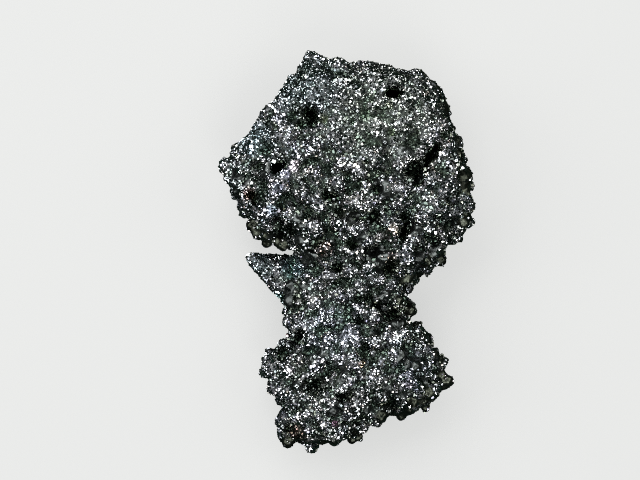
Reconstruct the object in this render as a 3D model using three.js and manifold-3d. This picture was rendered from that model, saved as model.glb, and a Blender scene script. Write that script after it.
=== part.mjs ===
// Botryoidal hematite: one piece of black, grainy iron ore, grown as swollen masses of small rounded lumps.
// It lies on the flat face where it broke away from its rock. Millimetres, +Z up. X runs across it, and Y
// from the foot of the lower lobe to the crown of the upper block. The origin is under its middle.
import * as THREE from 'three';
import { mergeVertices } from 'three/addons/utils/BufferGeometryUtils.js';
import Module from 'manifold-3d';

const wasm = await Module();
wasm.setup();

// Driving dimensions: how high each mass stands over the broken face, and where its fullest girth lies.
const BLOCK_TOP = 17.6;
const BLOCK_GIRTH = 8.6;
const LOBE_TOP = 13.4;
const LOBE_GIRTH = 6.4;
const WAIST_TOP = 12.6;
const WAIST_GIRTH = 6.6;
const SPUR_TOP = 7.1;
const SPUR_THICKNESS = 3.5;

// The rounded lumps that cover every mass, from crest to crest and from crease to crest.
const LUMP_PITCH = 4.2;
const LUMP_RISE = 1.9;
const LUMP_REACH = 0.78;

// How far the crests of the lumps stand proud of the outlines given below.
const SKIN = 0.75;

// The small knobs that are scattered over the masses and make their rims ragged, on a spiral that sways.
const KNOB_RADII = [1.0, 1.6];
const KNOB_PROUD = 0.5;
const KNOB_SWAY = 0.6;
const RANDOM_SEED = 11;

// The block's flat growth faces: a point on each, which way it leans, and how far it leans from level.
const BLOCK_FACES = [
  { at: [0.0, 14.0, 17.0], towards: 95, lean: 4 },
  { at: [2.5, 24.6, 13.4], towards: 81, lean: 60 },
  { at: [-9.4, 18.9, 14.6], towards: 143, lean: 34 },
  { at: [13.4, 17.0, 13.6], towards: 20, lean: 58 },
  { at: [12.6, 1.4, 12.4], towards: -44, lean: 48 },
  { at: [-12.2, 5.0, 12.2], towards: 218, lean: 52 },
  { at: [0.0, 4.6, 16.2], towards: 270, lean: 20 },
];

// The swollen masses: each has its outline seen from above, anticlockwise from its left side, its reach up and
// down from its girth, and how boxy its cross-section is. Stretch spreads its small faces evenly over a flat form,
// detail sets how small they are, and knobs is how many are scattered over it.
const BLOCK = {
  centre: [0.5, 12.2, BLOCK_GIRTH],
  outline: [
    [-17.0, 11.1], [-14.6, 4.2], [-11.0, 1.2], [-7.0, 0.5], [-3.0, -5.0], [7.8, -5.2], [13.4, -0.6],
    [16.9, 4.0], [16.8, 9.8], [15.3, 15.7], [14.2, 19.4], [12.5, 22.4], [10.1, 24.3], [0.4, 25.5], [-4.6, 27.0],
    [-7.6, 23.7], [-11.8, 18.2], [-14.5, 15.2],
  ],
  top: BLOCK_TOP - BLOCK_GIRTH,
  bottom: 9.8,
  squareness: 3.2,
  stretch: [1.6, 1.5, 1],
  detail: 10,
  faces: BLOCK_FACES,
  knobs: 34,
};

const LOBE = {
  centre: [0.9, -17.2, LOBE_GIRTH],
  outline: [
    [-8.7, -11.8], [-10.6, -14.8], [-10.8, -19.4], [-8.7, -21.8], [-8.9, -26.0], [-5.0, -26.8],
    [0.8, -25.7], [3.0, -23.8], [8.0, -22.5], [11.0, -20.8], [13.6, -18.3], [12.9, -15.2],
    [11.4, -12.6], [9.4, -9.6], [2.0, -7.0], [-6.0, -8.6],
  ],
  top: LOBE_TOP - LOBE_GIRTH,
  bottom: 7.6,
  squareness: 2.8,
  stretch: [1.7, 1.4, 1],
  detail: 7,
  faces: [],
  knobs: 22,
};

const WAIST = {
  centre: [-0.2, -5.8, WAIST_GIRTH],
  outline: [
    [-9.1, -9.2], [-8.6, -12.6], [8.8, -10.4], [9.2, -8.0], [7.8, -5.6], [7.2, 1.0], [-6.6, 1.4],
    [-9.2, -6.0],
  ],
  top: WAIST_TOP - WAIST_GIRTH,
  bottom: 4.2,
  squareness: 2.6,
  stretch: [1.5, 1.5, 1],
  detail: 4,
  faces: [],
  knobs: 5,
};

// The spur is thin and pointed, so it is a plate with bevelled edges. Its outline is seen from above.
const SPUR = {
  outline: [
    [-14.1, -1.0], [-13.5, -0.35], [-7.0, -0.45], [-3.4, -0.6], [-4.0, -8.0], [-8.0, -9.2], [-9.2, -7.4],
    [-10.7, -5.4], [-12.8, -3.1],
  ],
  top: SPUR_TOP,
  thickness: SPUR_THICKNESS,
  bevel: 0.55,
};

// Pits and clefts that run down into the front, as ellipsoids: middle, half sizes, turn in degrees.
const PITS = [
  { at: [-5.4, 17.5, 16.9], half: [1.9, 1.2, 2.2], turn: -20 },
  { at: [6.0, 20.9, 17.0], half: [1.1, 0.8, 3.2], turn: 0 },
  { at: [11.2, 13.1, 16.0], half: [0.7, 2.1, 3.4], turn: -36 },
  { at: [9.2, 10.4, 16.6], half: [1.2, 2.0, 2.9], turn: -46 },
  { at: [7.3, 2.8, 15.8], half: [0.7, 2.0, 4.0], turn: -5 },
  { at: [-9.4, 11.0, 15.2], half: [2.2, 1.0, 1.8], turn: 8 },
  { at: [-4.7, 0.4, 14.2], half: [0.8, 0.8, 2.0], turn: 0 },
  { at: [-1.4, -2.6, 13.2], half: [0.9, 0.7, 2.1], turn: 0 },
  { at: [6.0, -8.5, 11.0], half: [3.2, 1.0, 2.4], turn: -14 },
  { at: [-7.6, -12.8, 10.4], half: [3.6, 0.7, 2.2], turn: 42 },
  { at: [-4.4, -18.6, 13.2], half: [1.6, 1.0, 2.6], turn: -20 },
  { at: [0.0, -19.6, 13.4], half: [1.1, 0.9, 2.6], turn: 25 },
  { at: [1.3, -23.2, 12.2], half: [1.6, 0.7, 2.2], turn: 10 },
];

// Swollen lumps that stand out from the front: middle and radius.
const LUMPS = [
  [-6.9, 11.9, 14.9, 2.2], [-9.0, 9.0, 14.3, 2.3], [-10.3, 5.6, 12.9, 2.2], [1.4, 6.6, 15.0, 2.3],
  [-1.6, 3.4, 14.0, 2.2], [5.4, 2.9, 14.2, 2.3], [10.8, 7.6, 13.8, 2.6], [2.6, -2.6, 11.6, 2.4],
  [-2.2, -6.4, 9.9, 2.4], [6.6, -11.4, 10.4, 2.4], [0.0, -12.8, 11.0, 2.5], [9.2, -15.6, 9.8, 2.6],
  [4.2, -16.2, 11.4, 2.4], [-6.6, -16.2, 10.2, 2.4], [-9.4, -2.8, 5.6, 1.9], [-7.4, -5.2, 5.9, 2.3],
];

// Knobs that end the corners and tips of the rim: middle and radius.
const TIPS = [
  [-4.7, 26.1, 9.4, 1.45], [-11.2, 18.2, 9.0, 1.1], [-16.1, 11.3, 8.8, 1.5], [9.7, 23.5, 9.6, 1.4],
  [7.4, 23.9, 9.2, 1.2], [-9.2, 20.5, 9.0, 1.1],
  [16.1, 6.0, 8.4, 1.5], [15.9, 4.3, 7.6, 1.5], [15.8, 10.6, 8.6, 1.3], [12.4, 0.3, 7.4, 1.4],
  [10.6, -1.4, 7.2, 1.2], [8.6, -8.2, 6.8, 1.4], [-11.8, -1.8, 5.3, 1.35], [-10.1, -15.1, 6.2, 1.45],
  [-9.7, -19.0, 6.0, 1.45], [-8.1, -24.1, 5.8, 1.5], [-8.1, -25.9, 5.6, 1.4], [-4.9, -26.2, 5.8, 1.5],
  [0.8, -25.5, 5.6, 1.35], [7.9, -22.1, 5.8, 1.3], [10.5, -20.8, 6.0, 1.3], [12.0, -19.2, 6.0, 1.35],
  [13.9, -18.1, 6.4, 1.2], [12.6, -15.6, 6.6, 1.2], [11.0, -12.8, 6.6, 1.35], [10.6, -11.6, 6.6, 1.3],
  [9.5, -10.6, 6.6, 1.2],
];

// A room that holds all of the stone above its broken face: width, length and height.
const ROOM = [80, 120, 60];

// Four unrelated waves and a large scale, which turn a lattice place into a random number.
const HASH_WAVES = [127.1, 311.7, 74.7, 57.3];
const HASH_SCALE = 43758.5453;

// The step, the offset and the span of the usual linear source of random numbers.
const SOURCE_STEP = 1664525;
const SOURCE_OFFSET = 1013904223;
const SOURCE_SPAN = 2 ** 32;

const FULL_TURN = 2 * Math.PI;
const GOLDEN_TURN = Math.PI * (3 - Math.sqrt(5));
const TINY = 1e-9;
const WELD = 1e-4;

const STONE = new THREE.MeshStandardMaterial({ color: 0x34383a, roughness: 0.32, metalness: 0.85 });

// A repeatable source of numbers from 0 to 1.
function randomSource(seed) {
  let state = seed;
  return () => {
    state = (state * SOURCE_STEP + SOURCE_OFFSET) % SOURCE_SPAN;
    return state / SOURCE_SPAN;
  };
}

// A repeatable number from 0 to 1 for one cell of a lattice.
function cellNumber(x, y, z, salt) {
  const wave = Math.sin(x * HASH_WAVES[0] + y * HASH_WAVES[1] + z * HASH_WAVES[2] + salt * HASH_WAVES[3]);
  return wave * HASH_SCALE - Math.floor(wave * HASH_SCALE);
}

// Distance from a point to the nearest of a jittered lattice of lump middles, in pitches.
function nearestLump(point, pitch) {
  const spot = point.clone().divideScalar(pitch);
  const cell = spot.clone().floor();
  const middle = new THREE.Vector3();
  let nearest = Infinity;
  for (let dx = -1; dx <= 1; dx += 1) {
    for (let dy = -1; dy <= 1; dy += 1) {
      for (let dz = -1; dz <= 1; dz += 1) {
        const x = cell.x + dx;
        const y = cell.y + dy;
        const z = cell.z + dz;
        middle.set(x + cellNumber(x, y, z, 1), y + cellNumber(x, y, z, 2), z + cellNumber(x, y, z, 3));
        nearest = Math.min(nearest, middle.distanceTo(spot));
      }
    }
  }
  return nearest;
}

// How far the skin lies below the crests of its lumps: each is a dome, and domes meet in a crease.
function lumpHollow(point) {
  const reach = Math.min(1, nearestLump(point, LUMP_PITCH) / LUMP_REACH);
  return LUMP_RISE * reach * reach;
}

// Distance from the middle of an outline to its edge, in a direction given by its cosine and sine.
function outlineReach(outline, middle, cos, sin) {
  for (let i = 0; i < outline.length; i += 1) {
    const [ax, ay] = outline[i];
    const [bx, by] = outline[(i + 1) % outline.length];
    const ux = bx - ax;
    const uy = by - ay;
    const det = cos * uy - sin * ux;
    const ex = ax - middle[0];
    const ey = ay - middle[1];
    const reach = (ex * uy - ey * ux) / det;
    const along = (ex * sin - ey * cos) / det;
    if (reach > 0 && along >= 0 && along <= 1) return reach;
  }
  throw new Error('an outline does not close round its middle');
}

// The outward direction of a growth face.
function faceNormal({ towards, lean }) {
  const turn = THREE.MathUtils.degToRad(towards);
  const tilt = THREE.MathUtils.degToRad(lean);
  return new THREE.Vector3(Math.sin(tilt) * Math.cos(turn), Math.sin(tilt) * Math.sin(turn), Math.cos(tilt));
}

// How far a mass reaches in one direction, before its lumps.
function massReach(form, direction) {
  const level = Math.max(Math.hypot(direction.x, direction.y), TINY);
  const cos = level > TINY ? direction.x / level : 1;
  const sin = level > TINY ? direction.y / level : 0;
  const wide = outlineReach(form.outline, form.centre, cos, sin);
  const tall = direction.z > 0 ? form.top : form.bottom;
  const power = form.squareness;
  let reach = ((level / wide) ** power + (Math.abs(direction.z) / tall) ** power) ** (-1 / power);
  for (const face of form.faces) {
    const normal = faceNormal(face);
    const facing = normal.dot(direction);
    const depth = normal.dot(new THREE.Vector3(...face.at).sub(new THREE.Vector3(...form.centre)));
    if (facing > 0) reach = Math.min(reach, depth / facing);
  }
  return reach;
}

// A closed three.js shape as a solid that can be joined and cut.
function solid(geometry) {
  const bare = geometry.clone();
  bare.deleteAttribute('normal');
  bare.deleteAttribute('uv');
  const merged = mergeVertices(bare, WELD);
  const mesh = new wasm.Mesh({
    numProp: 3,
    vertProperties: new Float32Array(merged.attributes.position.array),
    triVerts: new Uint32Array(merged.index.array),
  });
  return new wasm.Manifold(mesh);
}

// One swollen mass: a ball of small faces, pushed out to its outline, its growth faces and its lumps.
function mass(form) {
  const ball = new THREE.IcosahedronGeometry(1, form.detail).scale(...form.stretch);
  const centre = new THREE.Vector3(...form.centre);
  const spots = ball.attributes.position;
  for (let i = 0; i < spots.count; i += 1) {
    const direction = new THREE.Vector3().fromBufferAttribute(spots, i).normalize();
    const skin = direction.clone().multiplyScalar(massReach(form, direction)).add(centre);
    skin.addScaledVector(direction, SKIN - lumpHollow(skin));
    spots.setXYZ(i, skin.x, skin.y, skin.z);
  }
  return solid(ball);
}

// A rounded knob of few faces, turned so that no two look alike.
function knob([x, y, z, radius], random, detail) {
  const ball = new THREE.IcosahedronGeometry(radius, detail);
  ball.rotateX(random() * FULL_TURN).rotateZ(random() * FULL_TURN).translate(x, y, z);
  return solid(ball);
}

// One pit or cleft, as the shape to cut away.
function pit({ at, half, turn }) {
  const hole = new THREE.IcosahedronGeometry(1, 1);
  hole.scale(...half).rotateZ(THREE.MathUtils.degToRad(turn)).translate(...at);
  return solid(hole);
}

// A plate with bevelled edges, from its outline seen from above.
function plate({ outline, top, thickness, bevel }) {
  const face = new THREE.Shape(outline.map(([x, y]) => new THREE.Vector2(x, y)));
  const slab = new THREE.ExtrudeGeometry(face, {
    depth: thickness - 2 * bevel,
    bevelThickness: bevel,
    bevelSize: bevel,
    bevelOffset: -bevel,
    bevelSegments: 1,
  });
  return solid(slab.translate(0, 0, top - thickness + bevel));
}

// The knobs scattered evenly over one mass: each is the next turn of a spiral from its top to its foot.
function scatteredKnobs(form, random) {
  const knobs = [];
  for (let i = 0; i < form.knobs; i += 1) {
    const rise = 1 - (2 * i + 1) / form.knobs;
    const around = i * GOLDEN_TURN + KNOB_SWAY * random();
    const level = Math.sqrt(1 - rise * rise);
    const direction = new THREE.Vector3(level * Math.cos(around), level * Math.sin(around), rise);
    direction.multiply(new THREE.Vector3(...form.stretch)).normalize();
    const radius = THREE.MathUtils.lerp(...KNOB_RADII, random());
    const reach = massReach(form, direction) + KNOB_PROUD - radius;
    const spot = direction.multiplyScalar(reach).add(new THREE.Vector3(...form.centre));
    knobs.push(knob([...spot.toArray(), radius], random, 0));
  }
  return knobs;
}

// Everything above the flat face where the piece broke off.
function aboveBreak() {
  const room = new THREE.BoxGeometry(...ROOM);
  return solid(room.translate(0, 0, ROOM[2] / 2));
}

// The whole stone as one solid.
function stone() {
  const random = randomSource(RANDOM_SEED);
  const masses = [BLOCK, LOBE, WAIST];
  let body = plate(SPUR);
  for (const form of masses) body = body.add(mass(form));
  for (const form of masses) {
    for (const piece of scatteredKnobs(form, random)) body = body.add(piece);
  }
  for (const lump of LUMPS) body = body.add(knob(lump, random, 1));
  for (const tip of TIPS) body = body.add(knob(tip, random, 0));
  for (const hole of PITS) body = body.subtract(pit(hole));
  const cut = body.intersect(aboveBreak());
  return cut.decompose().sort((a, b) => b.volume() - a.volume())[0];
}

// A joined solid as a three.js shape, moved so that the middle of its box is over the origin.
function shape(joined) {
  const mesh = joined.getMesh();
  const geometry = new THREE.BufferGeometry();
  geometry.setAttribute('position', new THREE.BufferAttribute(mesh.vertProperties, 3));
  geometry.setIndex(new THREE.BufferAttribute(mesh.triVerts, 1));
  geometry.computeBoundingBox();
  const middle = geometry.boundingBox.getCenter(new THREE.Vector3());
  geometry.translate(-middle.x, -middle.y, -geometry.boundingBox.min.z);
  geometry.computeVertexNormals();
  return geometry;
}

const hematite = new THREE.Mesh(shape(stone()), STONE);
hematite.name = 'hematite';

const part = new THREE.Group();
part.add(hematite);

export default part;
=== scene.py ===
# %% [markdown]
# # A specimen of botryoidal hematite
# Hematite is iron oxide. Where it grows freely in a cavity it builds swollen masses, like bunches of
# grapes, and here each grape is itself a crust of very small crystals that flash like black glass. The
# solid that this script starts from has the stone's size, its masses, its pits and its ragged rim. What
# is left to make is what the eye sees first: lumps on lumps, tens of thousands of grains, and their
# metallic shine.

# %% Load the fixed frame
import math

import bmesh
import bpy
import numpy as np
from mathutils import Matrix, Vector
from mathutils.bvhtree import BVHTree
from mathutils.kdtree import KDTree


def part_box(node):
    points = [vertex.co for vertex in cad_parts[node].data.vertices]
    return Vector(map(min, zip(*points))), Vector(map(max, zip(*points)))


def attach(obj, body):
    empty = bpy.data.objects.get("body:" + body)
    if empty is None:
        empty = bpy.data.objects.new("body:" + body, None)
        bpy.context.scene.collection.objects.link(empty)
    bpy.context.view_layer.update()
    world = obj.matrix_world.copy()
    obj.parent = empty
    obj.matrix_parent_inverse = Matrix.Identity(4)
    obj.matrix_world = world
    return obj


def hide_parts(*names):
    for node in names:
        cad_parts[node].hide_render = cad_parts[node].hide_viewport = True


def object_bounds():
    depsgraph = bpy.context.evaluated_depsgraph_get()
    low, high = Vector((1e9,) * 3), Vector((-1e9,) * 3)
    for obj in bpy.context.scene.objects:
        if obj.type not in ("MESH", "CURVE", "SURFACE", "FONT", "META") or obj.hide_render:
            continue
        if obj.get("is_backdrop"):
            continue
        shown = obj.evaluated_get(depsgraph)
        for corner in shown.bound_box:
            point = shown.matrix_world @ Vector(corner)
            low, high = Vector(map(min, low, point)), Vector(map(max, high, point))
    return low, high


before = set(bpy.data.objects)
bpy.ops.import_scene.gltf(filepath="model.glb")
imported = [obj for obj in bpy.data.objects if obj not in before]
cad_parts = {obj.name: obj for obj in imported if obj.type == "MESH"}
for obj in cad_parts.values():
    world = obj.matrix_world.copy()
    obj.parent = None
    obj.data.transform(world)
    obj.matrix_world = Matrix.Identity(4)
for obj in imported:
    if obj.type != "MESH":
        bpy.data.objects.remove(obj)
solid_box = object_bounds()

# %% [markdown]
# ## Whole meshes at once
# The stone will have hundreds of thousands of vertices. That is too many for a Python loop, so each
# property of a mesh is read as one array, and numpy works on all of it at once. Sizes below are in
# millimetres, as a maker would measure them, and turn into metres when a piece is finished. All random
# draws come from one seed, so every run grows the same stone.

MM = 0.001
SEED = 23
dice = np.random.default_rng(SEED)
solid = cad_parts["hematite"]
low, high = (np.array(corner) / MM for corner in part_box("hematite"))
print("the stone measures", np.round(high - low, 1), "mm")


# %% Read a mesh as arrays
def numbers(items, name, width, kind=np.float32):
    """One property of all items of a mesh, as an array."""
    found = np.empty(len(items) * width, kind)
    items.foreach_get(name, found)
    return found.reshape(-1, width) if width > 1 else found


def spots_and_normals(mesh):
    """The vertices of a mesh and the directions they face."""
    return (numbers(mesh.vertices, "co", 3).astype(float),
            numbers(mesh.vertices, "normal", 3).astype(float))


# %% [markdown]
# ## A skin to work on
# The solid comes in metres, and its vertices are doubled where faces meet, so moving them would tear it
# open. A copy in millimetres with its doubles merged is a true skin, and it keeps the small steps of
# later tools well away from rounding errors.

# %% A skin in millimetres
WELD = 0.001


def welded(mesh):
    """A copy of a mesh in mm whose faces share their corners."""
    made = bmesh.new()
    made.from_mesh(mesh)
    bmesh.ops.scale(made, vec=Vector((1, 1, 1)) / MM, verts=made.verts)
    bmesh.ops.remove_doubles(made, verts=made.verts, dist=WELD)
    copy = bpy.data.meshes.new("welded")
    made.to_mesh(copy)
    made.free()
    return copy


skin = welded(solid.data)
print("the skin has", len(skin.vertices), "vertices")


# %% [markdown]
# ## Throwing darts at a surface
# Two things have to be spread over the stone: its swollen lumps and its grains. Points thrown at random
# clump and leave holes. Keeping only the darts that land clear of the others gives the even but lawless
# spread of a real crust, where each thing takes the room that it needs.

# %% Throw darts
def at(darts, values):
    """A property of the vertices, blended to where the darts hit."""
    corners, shares = darts
    return np.einsum("ij,ij...->i...", shares, values[corners])


def unit(ways):
    """Directions made one long."""
    return ways / np.linalg.norm(ways, axis=1)[:, None]


def thrown(mesh, count):
    """Where darts hit a mesh, how it faces there, and for each dart its corners and its share of them."""
    mesh.calc_loop_triangles()
    corners = numbers(mesh.loop_triangles, "vertices", 3, np.int32)
    spots, normals = spots_and_normals(mesh)
    a, b, c = spots[corners].transpose(1, 0, 2)
    area = np.linalg.norm(np.cross(b - a, c - a), axis=1) / 2
    face = dice.choice(len(area), count, p=area / area.sum())
    root = np.sqrt(dice.random(count))
    across = dice.random(count)
    darts = corners[face], np.stack([1 - root, root * (1 - across), root * across], 1)
    print("skin area:", round(area.sum()), "mm2")
    return at(darts, spots), unit(at(darts, normals)), darts


# %% Keep the darts that have room
def kept_apart(places, rooms):
    """Which darts stay: those whose own room overlaps the room of no dart before them."""
    cell = 2 * rooms.max()
    homes = np.floor(places / cell).astype(int).tolist()
    around = [(x - 1, y - 1, z - 1) for x, y, z in np.ndindex(3, 3, 3)]
    taken = {}
    kept = []
    for i, (place, home, own) in enumerate(zip(places.tolist(), homes, rooms.tolist())):
        x, y, z = place
        hx, hy, hz = home
        near = (
            (px - x) ** 2 + (py - y) ** 2 + (pz - z) ** 2 < (own + other) ** 2
            for dx, dy, dz in around
            for px, py, pz, other in taken.get((hx + dx, hy + dy, hz + dz), ())
        )
        if not any(near):
            taken.setdefault((hx, hy, hz), []).append((x, y, z, own))
            kept.append(i)
    return np.array(kept)


# %% [markdown]
# ## Numbers that are laid through space
# Colour, gloss and lumpiness change from place to place on the stone. A number for each cell of a
# lattice, blended between the cells, gives a smooth drift, and the nearest of one jittered middle for
# each cell gives packed domes. Neither needs a picture. Each pattern has a salt, a whole number of its
# own, so that no two patterns run alike.

# %% A drift and a packing
# Large odd numbers, which carry neighbouring cells far apart.
HASH = (73856093, 19349663, 83492791, 2654435761)
HASH_MIX = 1274126177
HASH_SHIFTS = (13, 16)
WORD = 2 ** 32


def lattice_number(cells, salt):
    """A repeatable number from 0 to 1 for each cell of a lattice."""
    x, y, z = cells.astype(np.int64).T
    word = (x * HASH[0] ^ y * HASH[1] ^ z * HASH[2] ^ salt * HASH[3]) % WORD
    word = (word ^ (word >> HASH_SHIFTS[0])) * HASH_MIX % WORD
    return ((word ^ (word >> HASH_SHIFTS[1])) % WORD) / WORD


def nearest_middle(spots, pitch, salt):
    """The way to each spot from its nearest jittered middle, in pitches, and the cell of that middle."""
    places = spots / pitch
    cells = np.floor(places)
    nearest = np.full(len(spots), np.inf)
    ways = np.zeros((len(spots), 3))
    owners = cells.copy()
    for step in np.ndindex(3, 3, 3):
        cell = cells + np.array(step) - 1
        middle = cell + np.stack([lattice_number(cell, salt + axis) for axis in range(3)], 1)
        length = np.linalg.norm(places - middle, axis=1)
        closer = length < nearest
        nearest[closer] = length[closer]
        ways[closer] = (places - middle)[closer]
        owners[closer] = cell[closer]
    return ways, owners


def drift(spots, size, salt):
    """A smooth random number from 0 to 1 that changes slowly over the given size."""
    places = spots / size
    cells = np.floor(places)
    part = places - cells
    part = part * part * (3 - 2 * part)
    value = np.zeros(len(spots))
    for step in np.ndindex(2, 2, 2):
        corner = np.array(step)
        weight = np.prod(np.where(corner, part, 1 - part), axis=1)
        value += weight * lattice_number(cells + corner, salt)
    return value


# %% [markdown]
# ## Lumps on lumps
# Each big lump of a botryoidal crust carries smaller ones, like a bunch of grapes. They could be pressed
# into the skin as a height pattern, but that makes shallow dimples and no overhangs. So balls are set
# into a shrunken copy of the skin, and a voxel remesh melts them all into one. Smaller balls are set on
# that, and it is melted again, so that the deep creases between the big lumps stay open.

# %% Many balls in one mesh
def ball_form(rounds=2):
    """A small round ball, as corners and faces."""
    made = bmesh.new()
    bmesh.ops.create_icosphere(made, subdivisions=rounds, radius=1)
    corners = np.array([vertex.co for vertex in made.verts])
    faces = [[vertex.index for vertex in face.verts] for face in made.faces]
    made.free()
    return corners, faces


def copied(faces, starts):
    """The faces of each copy of a form, from the numbers of the copies' first corners."""
    faces = np.array(faces)
    return (starts[:, None, None] + faces[None]).reshape(-1, faces.shape[1])


def joined(base, form, middles, radii):
    """A mesh with a copy of a small form, given as corners and faces, at each middle."""
    corners, faces = form
    spots, _ = spots_and_normals(base)
    base_faces = [tuple(face.vertices) for face in base.polygons]
    placed = (corners[None] * radii[:, None, None] + middles[:, None]).reshape(-1, 3)
    starts = len(spots) + np.arange(len(middles)) * len(corners)
    mesh = bpy.data.meshes.new("joined")
    all_faces = base_faces + copied(faces, starts).tolist()
    mesh.from_pydata(np.concatenate([spots, placed]).tolist(), [], all_faces)
    return mesh


# %% Melt balls into a mesh
SMOOTH_ROUNDS, SMOOTH_PART = 1, 0.5
HEADROOM = 0.1


def under_the_crown(middles, radii):
    """The same middles, lowered where a ball would rise above the top of the solid."""
    lowered = middles.copy()
    lowered[:, 2] = np.minimum(middles[:, 2], high[2] + HEADROOM - radii)
    return lowered


def linked(name, data):
    """A new object in the scene."""
    thing = bpy.data.objects.new(name, data)
    bpy.context.scene.collection.objects.link(thing)
    return thing


def melted(base, middles, radii, voxel):
    """One even skin round a mesh and the balls that are set into it."""
    thing = linked("melting", joined(base, ball_form(), middles, radii))
    remesh = thing.modifiers.new("even_faces", "REMESH")
    remesh.mode = "VOXEL"
    remesh.voxel_size = voxel
    smooth = thing.modifiers.new("rounded", "SMOOTH")
    smooth.factor = SMOOTH_PART
    smooth.iterations = SMOOTH_ROUNDS
    bpy.context.view_layer.update()
    dressed = thing.evaluated_get(bpy.context.evaluated_depsgraph_get())
    mesh = bpy.data.meshes.new_from_object(dressed)
    bpy.data.objects.remove(thing)
    print(len(radii), "balls melted into", len(mesh.polygons), "faces")
    return mesh


# %% [markdown]
# ## Calm crust and wild crust
# On the block's high flat face the crust is low and calm, and lower down it is wild and deeply creased.
# The spur is a thin blade with hardly a lump on it. This could be painted on the skin, but each melt
# makes the skin anew, and the paint would be lost. So one helper says how wild each place is, another
# keeps off the spur, and the later steps ask them.

# %% Where the crust is wild
CALM_FROM, WILD_FROM = 16.0, 8.0
WILD_SWAY, SWAY_SIZE = 4, 5
SPUR_MIDDLE, SPUR_REACH = (-11.9, -3.4), (3.6, 4.8)


def ramp(values, start, end):
    """Nothing before the start, one after the end, and a soft rise between them."""
    part = np.clip((values - start) / (end - start), 0, 1)
    return part * part * (3 - 2 * part)


def off_the_spur(spots):
    """Nought on the spur, one away from it."""
    return ramp(np.hypot(spots[:, 0] - SPUR_MIDDLE[0], spots[:, 1] - SPUR_MIDDLE[1]), *SPUR_REACH)


def wildness(spots):
    """Nought where the crust is calm, one where it is wild."""
    swayed = spots[:, 1] + WILD_SWAY * (drift(spots, SWAY_SIZE, salt=71) - 0.5)
    return (1 - ramp(swayed, WILD_FROM, CALM_FROM)) * off_the_spur(spots)


# %% [markdown]
# ## The big lumps
# On the stone these are 2 to 3.5 mm across and crowd against each other. A grid of them would look made,
# so darts choose their places. Each draws its own room, and most draw a small one. A lump is a ball that
# is set into the skin until only its cap stands proud, more of it where the crust is wild. None is set on
# the spur or on the broken back.

# %% Set the big lumps
BIG_DARTS = 3500
BIG_ROOM, BIG_ROOM_LEAN = (0.85, 1.7), (1.4, 2.2)
BIG_OVERLAP = 1.06
BIG_PROUD, CALM_PART, PROUD_VARIES = 0.30, 0.45, (0.5, 1.4)
ABOVE_THE_BREAK = 0.5
CLEAR_OF_THE_SPUR = 0.3

middles, facings, _ = thrown(skin, BIG_DARTS)
rooms = BIG_ROOM[0] + (BIG_ROOM[1] - BIG_ROOM[0]) * dice.beta(*BIG_ROOM_LEAN, BIG_DARTS)
kept = kept_apart(middles, rooms)
kept = kept[(middles[kept, 2] > ABOVE_THE_BREAK) & (off_the_spur(middles[kept]) > CLEAR_OF_THE_SPUR)]
radii = rooms[kept] * BIG_OVERLAP
proud = BIG_PROUD * (CALM_PART + (1 - CALM_PART) * wildness(middles[kept]))
proud *= dice.uniform(*PROUD_VARIES, len(kept))
middles = middles[kept] - facings[kept] * (radii * (1 - proud))[:, None]
across = np.round(2 * radii, 1)
print("big lumps:", len(kept), "of", across.min(), "to", across.max(), "mm across")

# %% [markdown]
# ## Knobs that are known by their place
# Most lumps may lie anywhere, but a ridge at the left of the block and a few single knobs give this stone
# its face. They are listed one by one, and a ray from above drops them onto the skin. A ray misses the
# knobs that stick out sideways from the rim, so each of these has its middle given in full. They keep the
# ragged outline, which the next step, where the skin sinks, would take away.

# %% Knobs on the front
HIGH_ABOVE = 60


def tree_of(mesh):
    """The faces of a mesh, in a tree that rays can search."""
    spots, _ = spots_and_normals(mesh)
    return BVHTree.FromPolygons(spots.tolist(), [tuple(face.vertices) for face in mesh.polygons])


def front_of(tree, x, y):
    """The highest point of a surface at this place."""
    return np.array(tree.ray_cast(Vector((x, y, HIGH_ABOVE)), Vector((0, 0, -1)))[0])


KNOBS = (
    # where on the front, radius
    (-6.6, 12.3, 0.9), (-7.3, 11.2, 1.0), (-8.3, 10.1, 0.95), (-9.2, 8.9, 0.9), (-9.8, 7.6, 0.9),
    (-10.1, 6.4, 0.9), (-10.2, 5.3, 1.05), (-10.7, 4.0, 0.85),
    (-1.2, 3.6, 1.1), (1.6, 6.4, 1.2), (6.1, 2.9, 1.0), (2.8, -2.6, 1.1), (-1.0, 22.6, 0.7),
    (8.2, -17.6, 1.2), (-6.6, -18.0, 0.9), (7.0, -11.4, 1.0), (-2.2, -12.0, 1.0),
)
KNOB_PROUD = 0.75

front = tree_of(skin)
knob_radii = np.array([radius for _, _, radius in KNOBS])
knob_middles = np.array([front_of(front, x, y) for x, y, _ in KNOBS])
knob_middles[:, 2] -= knob_radii * (1 - KNOB_PROUD)
middles = np.concatenate([middles, knob_middles])
radii = np.concatenate([radii, knob_radii])

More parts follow.
